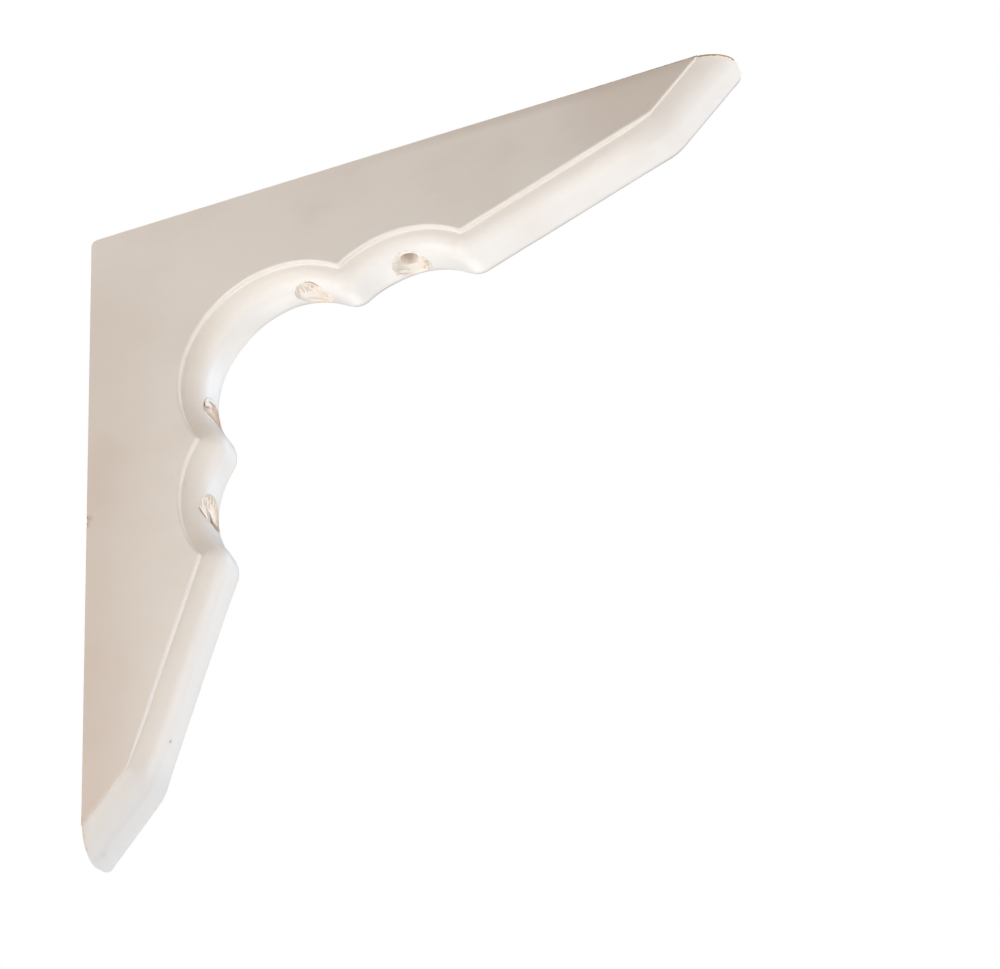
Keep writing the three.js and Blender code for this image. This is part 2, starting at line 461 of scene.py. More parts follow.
def boreProfile(name, floorDepth):
    # (height above the marked floor, radius, roughness) from the arm's outer face inwards
    hole = bores["holeDiameter"] / 2
    wide = bores["counterboreDiameter"] / 2
    foot = bores["footRound"]
    taper = bores["wallTaper"]
    shaft = bores["shaftRough"]
    floor = drillWaste[name]["floorRaised"]
    deep = drillWaste[name]["chokeDepth"]
    choke = drillWaste[name]["chokeRadius"]
    start = -floorDepth - bores["pastFace"]
    beyond = board["archSetback"] - floorDepth
    profile = [(start, 0.0, 0), (start, hole, 0)]
    profile += [(-floorDepth * share, hole, shaft) for share in (0.9, 0.7, 0.5, 0.3)]
    profile.append((floor - deep - bores["chokeReach"], hole, shaft))
    profile.append((floor - deep - bores["chokeThickness"], choke, 1))
    profile.append((floor - deep, choke, 1))
    for share in (0.1, 0.25, 0.45, 0.7):
        profile.append((floor - deep * (1 - share), choke + (hole - choke) * math.sqrt(share), 1))
    profile += [(floor - bores["mouthDrop"], hole, 1), (floor, hole + bores["mouthWiden"], 1)]
    flatEnd = wide - taper - foot
    profile += [(floor, hole + (flatEnd - hole) * share, 1) for share in (0.25, 0.5, 0.75, 1.0)]
    for angle in quarterTurn(bores["footSteps"])[1:]:
        profile.append((floor + foot * (1 - math.cos(angle)), flatEnd + foot * math.sin(angle), 1))
    for rise in bores["wallRises"]:
        narrowed = taper * (1 - min(1.0, (rise - foot) / bores["taperHeight"]))
        profile.append((floor + rise, wide - narrowed, 1))
    profile += [(beyond, wide, 0), (beyond, 0.0, 0)]
    return profile


def cutterFrom(name, vertices, faces, linings, parts):
    # a closed cutter, and the materials that it leaves on what it cuts
    mesh = bpy.data.meshes.new(name)
    mesh.from_pydata(vertices, [], faces)
    for material in linings:
        mesh.materials.append(material)
    mesh.polygons.foreach_set("material_index", parts)
    work = bmesh.new()
    work.from_mesh(mesh)
    bmesh.ops.remove_doubles(work, verts=work.verts, dist=1e-7)
    bmesh.ops.recalc_face_normals(work, faces=work.faces)
    work.to_mesh(mesh)
    work.free()
    return addObject(name, mesh)


def stretched(flat, rise, ways):
    return Vector((flat.x * ways[0], flat.y * ways[1], rise * ways[2]))


def boreCutter(name, linings, seed):
    # the linings are for the floor, the counterbore's wall and the screw hole
    floorDepth, placeIt = boreFrame(name)
    profile = boreProfile(name, floorDepth)
    floor = drillWaste[name]["floorRaised"]
    mouthShift = drillWaste[name]["mouthShift"]
    around = bores["around"]
    hole = bores["holeDiameter"] / 2
    shift = Vector((seed * 3.1, seed * 1.7, seed * 0.9))
    vertices = []
    for rise, radius, rough in profile:
        atMouth = 1 - smooth(hole, hole + bores["mouthFade"], radius)
        for i in range(around):
            direction = pointing(2 * math.pi * i / around)
            flat = direction * radius
            grain = noise.noise(stretched(flat, rise, bores["tears"]) + shift)
            coarse = noise.noise(stretched(flat, rise, bores["broadTears"]) + shift * 2)
            push = rough * (bores["wallRough"] * grain + bores["wallCoarse"] * coarse)
            lift = rough * bores["floorRough"] * (grain + bores["floorCoarse"] * coarse)
            flat = direction * max(0.0, radius + (push if radius > 0 else 0))
            height = rise + (lift if radius > hole else 0)
            vertices.append(placeIt(flat.x, flat.y - mouthShift * atMouth, height))
    faces = []
    parts = []
    # which lining each band of faces takes
    for ring in range(len(profile) - 1):
        inShaft = profile[ring][1] <= hole and profile[ring + 1][1] <= hole + 0.2
        onWall = profile[ring][0] > floor + 0.3 and profile[ring][1] > hole + 0.5
        faces += ringFaces(ring, around)
        parts += [2 if inShaft else 1 if onWall else 0] * around
    return cutterFrom(name + "Cutter", vertices, faces, linings, parts)


# The dark seam strands are partly painted shadow: dark wood laid along the rims and between the fibres
# where the holes fall into shade.
# Torn fibres, dark seams and lumps of paint left in the holes. Each one is a few points (along the arm,
# across, height above the marked floor) with its width and thickness, in millimetres, and what it is of.

fibres = {
    "shelfInner": [
        ([(-0.6, -4.9, 1.3), (0.9, -5.1, 1.5), (2.1, -4.7, 2.2), (3.3, -3.9, 3.2)],
         0.42, 0.3, "darkSeamWood"),
        ([(0.0, -4.5, 1.5), (0.1, -3.7, 1.9), (-0.5, -2.9, 2.0)], 0.3, 0.25, "seamWood"),
        ([(1.0, -4.0, 2.1), (1.6, -3.7, 2.4), (1.5, -3.0, 2.6)], 0.3, 0.25, "seamWood"),
        ([(-3.5, -3.9, 1.3), (-4.2, -2.0, 1.7), (-4.4, 0.3, 1.7)], 0.4, 0.3, "seamWood"),
        ([(-2.7, -2.9, 1.4), (-2.9, -1.7, 1.5), (-2.9, -0.3, 1.6)], 1.0, 0.4, "tanWood"),
        ([(-1.6, -3.8, 1.4), (-1.4, -2.4, 2.0), (-2.0, 0.2, 1.9)], 0.6, 0.4, "creamWood"),
        ([(0.7, -2.8, 2.1), (1.2, -1.8, 2.5), (1.9, -0.7, 2.8)], 0.5, 0.4, "creamWood"),
        ([(-0.9, -3.3, 1.7), (-0.6, -2.1, 2.0), (0.1, -1.5, 2.1)], 0.35, 0.3, "seamWood"),
        ([(-2.4, 1.7, 1.8), (0.2, 2.2, 2.5), (3.3, 2.9, 3.7)], 0.5, 0.3, "seamWood"),
        ([(3.1, -2.6, 3.5), (3.6, -0.5, 3.9), (4.3, 2.7, 4.3)], 0.5, 0.35, "tanWood"),
    ],
    "shelfOuter": [
        ([(-4.1, -3.3, 2.5), (-5.0, -1.2, 2.8), (-5.5, 1.3, 2.9)], 0.35, 0.3, "seamWood"),
        ([(-5.7, 2.2, 3.0), (-4.7, 1.9, 2.8), (-3.8, 3.0, 2.6), (-2.2, 3.0, 2.5)], 0.4, 0.3, "seamWood"),
        ([(-4.1, 0.8, 2.5), (-2.8, 1.0, 2.3), (-1.5, 2.5, 2.2)], 0.35, 0.3, "seamWood"),
        ([(-4.8, 1.1, 2.7), (-3.5, 1.8, 2.5), (-1.8, 2.1, 2.2)], 0.6, 0.4, "creamWood"),
        ([(4.5, -0.5, 2.7), (4.0, 1.6, 2.6), (2.4, 3.6, 2.3)], 1.3, 0.5, "seamWood"),
        ([(4.0, 1.6, 2.8), (3.5, 3.1, 2.7), (2.8, 4.4, 2.4)], 0.45, 0.4, "creamWood"),
        ([(5.2, -0.1, 3.1), (5.3, 1.8, 3.1), (4.4, 3.9, 2.9)], 0.5, 0.4, "whitePaint"),
    ],
    "wallInner": [
        ([(-3.0, -4.3, 1.4), (-4.9, -2.5, 1.6), (-5.5, 0.1, 1.6), (-4.7, 0.8, 1.6)],
         1.4, 0.4, "whitePaint"),
        ([(-2.1, -4.3, 1.4), (-3.4, -2.5, 1.5), (-3.3, -0.4, 1.5)], 1.6, 0.4, "tanWood"),
        ([(-0.6, -5.0, 1.5), (0.7, -4.8, 2.0), (2.2, -4.1, 2.8), (3.1, -0.3, 3.6)],
         0.4, 0.36, "shadowySeamWood"),
        ([(-0.7, -4.2, 1.8), (0.7, -3.3, 2.4), (2.1, -0.5, 3.0)], 0.5, 0.35, "seamWood"),
    ],
    "wallOuter": [
        ([(-2.0, -4.9, 1.4), (-1.1, -4.6, 1.4), (0.1, -4.5, 1.4)], 0.6, 0.4, "creamWood"),
        ([(-3.1, -4.2, 1.9), (-2.1, -3.9, 1.9), (-0.6, -3.6, 1.8)], 0.6, 0.4, "creamWood"),
        ([(-3.8, -3.2, 2.3), (-2.6, -2.8, 2.2), (-1.3, -2.7, 2.0)], 0.55, 0.4, "creamWood"),
        ([(-4.3, -1.9, 2.6), (-3.3, -1.4, 2.4), (-1.8, -1.2, 2.1)], 0.6, 0.4, "creamWood"),
        ([(-4.7, -0.2, 2.6), (-3.9, 0.4, 2.4), (-2.4, 0.5, 2.1)], 0.5, 0.35, "creamWood"),
        ([(-4.8, 1.4, 2.6), (-3.7, 1.8, 2.4), (-2.4, 1.7, 2.2)], 0.5, 0.35, "creamWood"),
        ([(-2.3, -3.8, 2.1), (-1.7, -3.3, 2.1), (-0.4, -3.6, 2.0)], 0.4, 0.3, "seamWood"),
        ([(-2.6, -1.5, 2.4), (-1.3, -2.2, 2.3), (-0.5, -1.8, 2.3)], 0.35, 0.3, "seamWood"),
        ([(-4.2, 0.0, 2.5), (-3.3, -0.6, 2.4), (-3.0, -0.2, 2.3)], 0.3, 0.3, "seamWood"),
        ([(0.4, -5.7, 1.0), (1.8, -5.3, 1.5), (3.8, -4.1, 2.5)], 0.5, 0.4, "darkSeamWood"),
        ([(-0.1, -3.5, 2.3), (2.0, -3.4, 2.7), (5.0, -3.6, 3.3)], 0.85, 0.5, "whitePaint"),
        ([(1.7, -2.6, 2.5), (3.2, -2.4, 2.8), (4.4, -0.9, 3.1), (4.6, 2.4, 3.3)],
         1.0, 0.7, "darkSeamWood"),
        ([(0.7, -2.4, 2.4), (1.9, -2.2, 2.7), (3.2, -1.3, 3.0)], 0.7, 0.4, "shadowySeamWood"),
        ([(-0.4, -6.4, 0.3), (0.0, -6.1, 0.8), (0.1, -5.7, 1.2)], 0.9, 0.45, "whitePaint"),
    ],
}


strandForm = {
    "around": 8,
    "endShare": 0.12,  # how thick its ends are beside its middle
    "fullness": 0.6,  # below one it stays full for longer
    "rough": 0.35,
    "lean": Vector((0.05, 0.1, 1)),  # nearly straight up, but along no strand
}


def rounded(points):
    # cuts the corners of a path until it runs smoothly
    for step in range(3):
        cut = [points[0]]
        for start, end in zip(points, points[1:]):
            cut += [start.lerp(end, 0.25), start.lerp(end, 0.75)]
        points = cut + [points[-1]]
    return points


def addStrand(work, placeIt, points, width, thickness, part, seed):
    path = rounded([Vector(point) for point in points])
    last = len(path) - 1
    around = strandForm["around"]
    endShare = strandForm["endShare"]
    rings = []
    for i, point in enumerate(path):
        along = (path[min(i + 1, last)] - path[max(i - 1, 0)]).normalized()
        across = along.cross(strandForm["lean"]).normalized()
        up = across.cross(along)
        full = endShare + (1 - endShare) * math.sin(math.pi * (i / last)) ** strandForm["fullness"]
        ring = []
        for k in range(around):
            turn = pointing(2 * math.pi * k / around)
            lump = noise.noise(Vector((point.x * 1.9, k * 1.3, seed * 5.7 + point.y)))
            rough = 1 + strandForm["rough"] * lump
            offset = across * (turn.x * width / 2) + up * (turn.y * thickness / 2)
            ring.append(work.verts.new(placeIt(*(point + offset * (full * rough)))))
        rings.append(ring)
    faces = [work.faces.new(list(reversed(rings[0]))), work.faces.new(rings[-1])]
    for first, second in zip(rings, rings[1:]):
        for k in range(around):
            beside = (k + 1) % around
            faces.append(work.faces.new((first[k], first[beside], second[beside], second[k])))
    for face in faces:
        face.material_index = part
        face.smooth = True


# Knocks and scratches cut out of the painted board: place and half sizes in millimetres, and turn

nicks = {
    "wallEdgeNick": (Vector((0.1, -10.0, -13.9)), Vector((0.5, 0.6, 1.05)), 0.2),
    "wallEdgeChip": (Vector((0.1, -10.0, -15.7)), Vector((0.38, 0.4, 0.5)), -0.2),
    "faceSpeck": (Vector((125.2, -10.0, 58.4)), Vector((0.3, 0.12, 0.3)), 0.0),
    "faceScratchTop": (Vector((111.1, -10.0, 60.1)), Vector((0.6, 0.16, 0.25)), 0.5),
    "faceScratchFoot": (Vector((111.5, -10.0, 57.6)), Vector((0.25, 0.11, 0.9)), 0.12),
    "noseSmudge": (Vector((22.8, -2.9, -85.8)), Vector((0.5, 0.3, 0.35)), 0.4),
}
nickForm = {
    "rings": 9,
    "around": 18,
    "rough": 0.35,
    "roughScale": 1.8,
}


def nickCutter(name, material, seed):
    centre, half, turned = nicks[name]
    turn = Matrix.Rotation(turned, 3, "Y")
    rings = nickForm["rings"]
    around = nickForm["around"]
    shift = Vector((seed * 2.3, 0, 0))
    vertices = []
    for ring in range(rings + 1):
        rise = math.pi * ring / rings
        for i in range(around):
            angle = 2 * math.pi * i / around
            level = math.sin(rise)
            way = Vector((level * math.cos(angle), math.cos(rise), level * math.sin(angle)))
            rough = 1 + nickForm["rough"] * noise.noise(way * nickForm["roughScale"] + shift)
            local = Vector((way.x * half.x, way.y * half.y, way.z * half.z)) * rough
            vertices.append((centre + turn @ local) * mm)
    faces = []
    for ring in range(rings):
        faces += ringFaces(ring, around)
    return cutterFrom(name, vertices, faces, [material], [0] * len(faces))


# Materials

def startMaterial(name):
    material = bpy.data.materials.new(name)
    material.use_nodes = True
    tree = material.node_tree
    return material, tree, tree.nodes["Principled BSDF"]


def addNode(tree, kind, inputs=None, **settings):
    made = tree.nodes.new(kind)
    for key, value in settings.items():
        setattr(made, key, value)
    for key, value in (inputs or {}).items():
        made.inputs[key].default_value = value
    return made


def noiseOver(source, scale, detail, roughness=0.5, stretch=None):
    tree = source.id_data
    if stretch:
        mapping = addNode(tree, "ShaderNodeMapping", {"Scale": stretch})
        tree.links.new(source, mapping.inputs["Vector"])
        source = mapping.outputs["Vector"]
    made = addNode(tree, "ShaderNodeTexNoise", {"Scale": scale, "Detail": detail, "Roughness": roughness})
    tree.links.new(source, made.inputs["Vector"])
    return made.outputs["Fac"]


def remap(source, low, high, toLow=0.0, toHigh=1.0, curve="SMOOTHSTEP"):
    tree = source.id_data
    ends = {"From Min": low, "From Max": high, "To Min": toLow, "To Max": toHigh}
    made = addNode(tree, "ShaderNodeMapRange", ends, interpolation_type=curve)
    tree.links.new(source, made.inputs["Value"])
    return made.outputs["Result"]


def combine(tree, operation, first, second):
    made = addNode(tree, "ShaderNodeMath", operation=operation)
    for socket, value in zip(made.inputs, (first, second)):
        if isinstance(value, (int, float)):
            socket.default_value = value
        else:
            tree.links.new(value, socket)
    return made.outputs["Value"]


def colourSocket(sockets, name):
    # a mix node has one socket of each name for every kind of value
    return [socket for socket in sockets if socket.name == name and socket.type == "RGBA"][0]


def blendColours(share, first, second):
    tree = share.id_data
    made = addNode(tree, "ShaderNodeMix", data_type="RGBA")
    for name, value in (("A", first), ("B", second)):
        socket = colourSocket(made.inputs, name)
        if isinstance(value, tuple):
            socket.default_value = (*value, 1)
        else:
            tree.links.new(value, socket)
    tree.links.new(share, made.inputs["Factor"])
    return colourSocket(made.outputs, "Result")


paint = {
    "white": (0.866, 0.860, 0.835),
    "thinAndShadedWhite": (0.82, 0.79, 0.745),  # where the brush left less of it, and painted shade on the step's wall where it faces down
    "paintedShade": (0.67, 0.60, 0.535),  # painted shade on the flat face, towards its outer edges and the tip
    "grimeAndShade": (0.46, 0.35, 0.26),  # rubbed into the smudges, and painted shade in the seams round the holes
    # painted shade on the shelf arm's nose and on the far round
    "shadeGrey": (0.56, 0.54, 0.52),
    "coolShadeWhite": (0.79, 0.797, 0.79),  # painted shade on the wall arm's nose
    "wornLine": (0.30, 0.21, 0.13),  # bare wood on the sharp outer arrises
    "wornWood": (0.92, 0.80, 0.62),
    "lineDepth": 0.42,  # millimetres of arris worn to a dark line
    "woodDepth": 0.85,  # and to pale wood beside it, at the tips
    "shadeUnderShelf": 0.55,  # how strong each of these is, out of one
    "shadeAtTip": 0.42,
    "shadeOnNose": 0.33,
    "shadeOnFarRound": 0.85,
    "wornWoodOnShelf": 0.8,
    "wornWoodOnWall": 0.15,
    "wornLineOnWall": 0.35,
    "wornLines": 0.85,
    "seamShade": 0.3,
    "roughness": 0.42,
    "ior": 1.48,
    "brushMarks": 0.25,
    "brushMarkDepth": 0.00007,  # metres
}

# where the paint changes: from and to, in metres along an axis of the frame
paintPlaces = {
    "flatFaceY": (-0.0098, -0.0091),
    "nearWallX": (0.0, 0.032),
    "belowCornerZ": (0.050, 0.078),
    "downWallArmZ": (-0.09, 0.03),
    "underShelfX": (0.07, 0.125),
    "underShelfDepth": (0.0045, 0.0005),
    "shelfTipX": (0.140, 0.172),
    "stepWallY": (-0.0100, -0.0086),
    "stepWallX": (0.035, 0.055),
    "wallNoseZ": (-0.098, -0.088),
    "shelfNoseY": (-0.0080, -0.0045),
    "shelfNoseX": (0.164, 0.178),
    "farRoundY": (0.0048, 0.0072),
    "farRoundX": (0.050, 0.075),
    "wornFrontY": (-0.0042, -0.0030),
    "wornWoodX": (0.1905, 0.1935),
    "wornWoodZ": (-0.1150, -0.1075),
    "wornLineX": (0.128, 0.160),
    "wornLineZ": (-0.1150, -0.1055),
    "holeSeam": (0.0053, 0.00565),  # from a hole's axis
    "shelfHolesX": (0.045, 0.046),
    "shelfHolesZ": (0.060, 0.061),
    "wallHolesX": (0.020, 0.021),
    "wallHolesZ": (0.032, 0.033),
}

smudges = {  # place in millimetres, reach and strength
    "besideNick": (Vector((0.5, -10.0, -14.0)), 2.2, 0.6),
    "besideChip": (Vector((0.4, -10.0, -15.9)), 1.3, 0.35),
    "wallNoseMark": (Vector((22.8, -2.6, -85.8)), 1.6, 0.3),
    "wallTipMark": (Vector((2.8, -2.6, -114.5)), 1.8, 0.18),
}


def product(made, *masks):
    for mask in masks:
        made = combine(made.id_data, "MULTIPLY", made, mask)
    return made


def spanMask(source, name, soft):
    # one between a place's two ends, and nothing beyond
    low, high = paintPlaces[name]
    rising = remap(source, low - soft, low + soft)
    falling = remap(source, high - soft, high + soft, 1.0, 0.0)
    return product(rising, falling)


def growing(source, name):
    return remap(source, *paintPlaces[name])


def fading(source, name, start=1.0, end=0.0):
    return remap(source, *paintPlaces[name], start, end)


def holeDistance(place, name):
    # how far a point is from the screw hole's axis, in metres
    tree = place.id_data
    placeIt = boreFrame(name)[1]
    onAxis = placeIt(0, 0, 0)
    flatten = (1, 1, 0) if name.startswith("shelf") else (0, 1, 1)
    flat = addNode(tree, "ShaderNodeVectorMath", {1: flatten}, operation="MULTIPLY")
    tree.links.new(place, flat.inputs[0])
    axis = [value * keep for value, keep in zip(onAxis, flatten)]
    far = addNode(tree, "ShaderNodeVectorMath", {1: axis}, operation="DISTANCE")
    tree.links.new(flat.outputs["Vector"], far.inputs[0])
    return far.outputs["Value"]


def paintMaterial():
    material, tree, shader = startMaterial("whitePaint")
    links = tree.links
    place = addNode(tree, "ShaderNodeTexCoord").outputs["Object"]
    split = addNode(tree, "ShaderNodeSeparateXYZ")
    links.new(place, split.inputs["Vector"])
    x, y, z = split.outputs
    facing = addNode(tree, "ShaderNodeSeparateXYZ")
    links.new(addNode(tree, "ShaderNodeNewGeometry").outputs["Normal"], facing.inputs["Vector"])
    offShelfFace = remap(facing.outputs["Z"], 0.93, 0.98, 1.0, 0.0)
    offWallFace = remap(facing.outputs["X"], -0.98, -0.93)
    offBack = remap(facing.outputs["Y"], 0.90, 0.97, 1.0, 0.0)
    facingDown = remap(facing.outputs["Z"], -0.85, -0.35, 1.0, 0.0)

    broad = noiseOver(place, 26, 3)
    fine = noiseOver(place, 420, 3)
    streaks = noiseOver(place, 150, 4, 0.55, (0.35, 1, 1))
    wearNoise = noiseOver(place, 700, 3, 0.6)
    thin = product(remap(broad, 0.40, 0.72), remap(streaks, 0.3, 0.7, 0.5, 1))
    colour = blendColours(thin, paint["white"], paint["thinAndShadedWhite"])
    speckle = product(remap(fine, 0.3, 0.7), 0.10)
    colour = blendColours(speckle, colour, paint["thinAndShadedWhite"])

    # painted shade: the flat face darkens towards the wall face, under the shelf face and towards the tip
    onFace = fading(y, "flatFaceY")
    uneven = remap(broad, 0.3, 0.7, 0.75, 1.0)
    towardsWall = product(onFace, uneven, fading(x, "nearWallX"),
                          fading(z, "belowCornerZ"), fading(z, "downWallArmZ", 0.95, 0.55))
    colour = blendColours(towardsWall, colour, paint["paintedShade"])
    shelfTop = highCorner.z
    lower, upper = (shelfTop - depth for depth in paintPlaces["underShelfDepth"])
    underShelf = product(onFace, uneven, remap(z, lower, upper),
                         growing(x, "underShelfX"), paint["shadeUnderShelf"])
    colour = blendColours(underShelf, colour, paint["paintedShade"])
    towardsTip = product(onFace, uneven, growing(x, "shelfTipX"), paint["shadeAtTip"])
    colour = blendColours(towardsTip, colour, paint["paintedShade"])

    # painted shade: the step's wall is greyer where it faces down
    stepWall = product(spanMask(y, "stepWallY", 0.0002), growing(x, "stepWallX"),
                       facingDown)
    colour = blendColours(stepWall, colour, paint["thinAndShadedWhite"])

    # painted shade on both noses: cooler and greyer on the wall arm's, a grey band on the shelf arm's
    offFace = growing(y, "flatFaceY")
    wallNose = product(offFace, offBack, offWallFace, fading(z, "wallNoseZ"))
    colour = blendColours(wallNose, colour, paint["coolShadeWhite"])
    shelfNose = product(spanMask(y, "shelfNoseY", 0.0015), growing(x, "shelfNoseX"),
                        paint["shadeOnNose"])
    colour = blendColours(shelfNose, colour, paint["shadeGrey"])

    # painted shade, streaky, on the far side of the shelf arm's moulding
    farRound = product(spanMask(y, "farRoundY", 0.0006), growing(x, "farRoundX"),
                       remap(streaks, 0.2, 0.6, 0.6, 1.0), offShelfFace, paint["shadeOnFarRound"])
    colour = blendColours(farRound, colour, paint["shadeGrey"])

    # worn arrises along the shelf face and at the wall arm's tip
    below = combine(tree, "SUBTRACT", shelfTop, z)
    ragged = remap(wearNoise, 0.3, 0.7, 0.5, 1.5, "LINEAR")
    shelfWood = product(growing(x, "wornWoodX"), paint["wornWoodOnShelf"])
    wallWood = product(spanMask(z, "wornWoodZ", 0.001), paint["wornWoodOnWall"])
    wallLine = product(spanMask(z, "wornLineZ", 0.001), paint["wornLineOnWall"])
    lineHere = product(ragged, paint["lineDepth"] * mm)
    woodHere = product(ragged, paint["woodDepth"] * mm)
    onFront = fading(y, "wornFrontY")
    for distance, wood, line, sides in (
            (below, shelfWood, growing(x, "wornLineX"), offShelfFace),
            (x, wallWood, wallLine, offWallFace)):
        nearWood = remap(combine(tree, "SUBTRACT", woodHere, distance), -0.00015, 0.00015)
        wornWood = product(nearWood, wood, onFront, sides)
        colour = blendColours(wornWood, colour, paint["wornWood"])
        nearLine = remap(combine(tree, "SUBTRACT", lineHere, distance), -0.00008, 0.00008)
        wornLine = product(nearLine, line, onFront, sides, paint["wornLines"])
        colour = blendColours(wornLine, colour, paint["wornLine"])

    for centre, reach, strength in smudges.values():
        away = addNode(tree, "ShaderNodeVectorMath", {1: centre * mm}, operation="DISTANCE")
        links.new(place, away.inputs[0])
        rubbed = remap(away.outputs["Value"], 0.0, reach * mm, strength, 0.0)
        patchy = product(rubbed, remap(wearNoise, 0.3, 0.6, 0.4, 1.0))
        colour = blendColours(patchy, colour, paint["grimeAndShade"])

    # painted shade in the seam round each hole
    for name in drillDrift:
        seam = spanMask(holeDistance(place, name), "holeSeam", 0.00012)
        if name.startswith("shelf"):
            arm = product(growing(x, "shelfHolesX"), fading(z, "shelfHolesZ"))
        else:
            arm = product(fading(z, "wallHolesZ"), growing(x, "wallHolesX"))
        shadedSeam = product(seam, arm, remap(wearNoise, 0.42, 0.62), paint["seamShade"])
        colour = blendColours(shadedSeam, colour, paint["grimeAndShade"])

    roughness = remap(fine, 0.25, 0.75, paint["roughness"] - 0.05, paint["roughness"] + 0.06)
    links.new(colour, shader.inputs["Base Color"])
    links.new(roughness, shader.inputs["Roughness"])
    relief = combine(tree, "ADD", product(streaks, 0.6), noiseOver(place, 900, 4))
    marks = {"Strength": paint["brushMarks"], "Distance": paint["brushMarkDepth"]}
    bump = addNode(tree, "ShaderNodeBump", marks)
    links.new(relief, bump.inputs["Height"])
    links.new(bump.outputs["Normal"], shader.inputs["Normal"])
    shader.inputs["IOR"].default_value = paint["ior"]
    return material


woods = {  # pale, warm and dark tones of the bare wood on each kind of surface
    "creamWood": ((0.98, 0.95, 0.90), (0.96, 0.90, 0.82), (0.82, 0.71, 0.60)),
    "tanWood": ((0.94, 0.87, 0.78), (0.89, 0.79, 0.68), (0.62, 0.50, 0.40)),
    "boredWood": ((0.97, 0.90, 0.83), (0.93, 0.83, 0.73), (0.72, 0.58, 0.48)),
    # painted shade: a darker floor for the wall arm's inner hole, which lies in shadow
    "shadedFloorWood": ((0.74, 0.64, 0.56), (0.70, 0.58, 0.50), (0.56, 0.46, 0.38)),
    "pinkWood": ((0.92, 0.79, 0.70), (0.87, 0.72, 0.62), (0.66, 0.53, 0.44)),
    # painted shadow: the three seam woods darken strands laid where the holes fall into shade
    "seamWood": ((0.80, 0.72, 0.64), (0.72, 0.62, 0.53), (0.52, 0.43, 0.35)),
    "shadowySeamWood": ((0.62, 0.54, 0.47), (0.54, 0.45, 0.38), (0.38, 0.30, 0.24)),
    "darkSeamWood": ((0.50, 0.42, 0.35), (0.42, 0.33, 0.27), (0.28, 0.21, 0.16)),
    "dirtyWood": ((0.44, 0.34, 0.26), (0.34, 0.25, 0.18), (0.18, 0.13, 0.10)),
}
woodSurface = {
    "grainStrength": 0.5,
    "roughness": (0.78, 0.92),
    "tornStrength": 0.7,
    "tornDepth": 0.00015,  # metres
}


def woodMaterial(name):
    pale, warm, dark = woods[name]
    material, tree, shader = startMaterial(name)
    links = tree.links
    place = addNode(tree, "ShaderNodeTexCoord").outputs["Object"]
    grain = noiseOver(place, 900, 5, 0.6, (0.25, 1, 1))
    broad = noiseOver(place, 260, 3, 0.5, (0.4, 1, 1))
    colour = blendColours(remap(broad, 0.42, 0.68), pale, warm)
    darker = product(remap(grain, 0.56, 0.72), woodSurface["grainStrength"])
    colour = blendColours(darker, colour, dark)
    links.new(colour, shader.inputs["Base Color"])
    links.new(remap(grain, 0.3, 0.7, *woodSurface["roughness"]), shader.inputs["Roughness"])
    tears = {"Strength": woodSurface["tornStrength"], "Distance": woodSurface["tornDepth"]}
    bump = addNode(tree, "ShaderNodeBump", tears)
    links.new(grain, bump.inputs["Height"])
    links.new(bump.outputs["Normal"], shader.inputs["Normal"])
    return material


def cutAway(piece, cutters):
    for cutter in cutters:
        cut = piece.modifiers.new(cutter.name, "BOOLEAN")
        cut.operation = "DIFFERENCE"
        cut.solver = "EXACT"
        cut.material_mode = "TRANSFER"
        cut.object = cutter
    graph = bpy.context.evaluated_depsgraph_get()
    result = bpy.data.meshes.new_from_object(piece.evaluated_get(graph))
    piece.modifiers.clear()
    old = piece.data
    piece.data = result
    bpy.data.meshes.remove(old)
    for cutter in cutters:
        bpy.data.meshes.remove(cutter.data)


def addFibres(piece):
    work = bmesh.new()
    work.from_mesh(piece.data)
    slots = [material.name for material in piece.data.materials]
    seed = 0
    for name, strands in fibres.items():
        placeIt = boreFrame(name)[1]
        for points, width, thickness, material in strands:
            seed += 1
            addStrand(work, placeIt, points, width, thickness, slots.index(material), seed)
    work.to_mesh(piece.data)
    work.free()
    print("fibres and paint lumps laid:", seed)


def buildBracket():
    paintCoat = paintMaterial()
    coats = {name: woodMaterial(name) for name in woods}
    piece = addObject("bracketBoard", boardMesh())
    for material in (paintCoat, *coats.values()):
        piece.data.materials.append(material)
    print("board shaped:", len(piece.data.vertices), "points")
    cutters = []
    for seed, name in enumerate(drillDrift, 1):
        waste = drillWaste[name]
        linings = (coats[waste["floorWood"]], coats[waste["wallWood"]], coats["boredWood"])
        cutters.append(boreCutter(name, linings, seed))
    for seed, name in enumerate(nicks, 1):
        inside = coats["dirtyWood"] if name.startswith("wallEdge") else paintCoat
        cutters.append(nickCutter(name, inside, seed))
    cutAway(piece, cutters)
    print("holes bored and knocks cut:", len(piece.data.polygons), "faces")
    piece.data.shade_smooth()
    piece.data.set_sharp_from_angle(angle=board["sharpAngle"])
    addFibres(piece)
    evened = piece.modifiers.new("evenedNormals", "WEIGHTED_NORMAL")
    evened.keep_sharp = True
    evened.weight = board["normalWeight"]
    return piece


bracket = buildBracket()
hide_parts("bracket")
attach(bracket, "root")
print("bracket made")


# The studio

studio = {
    "floorHeight": -0.75,  # metres, well under the camera
    "floorHalf": 6.0,
    "floorColour": (0.83, 0.82, 0.80),
    "floorCloud": 0.97,  # how dark the floor's faint clouds are beside it
    "floorRoughness": 0.9,
    "floorGlow": 0.85,
    "backdrop": (1.0, 1.0, 1.0),
    "ambient": (1.0, 0.87, 0.87),
    "ambientStrength": 0.192,
}


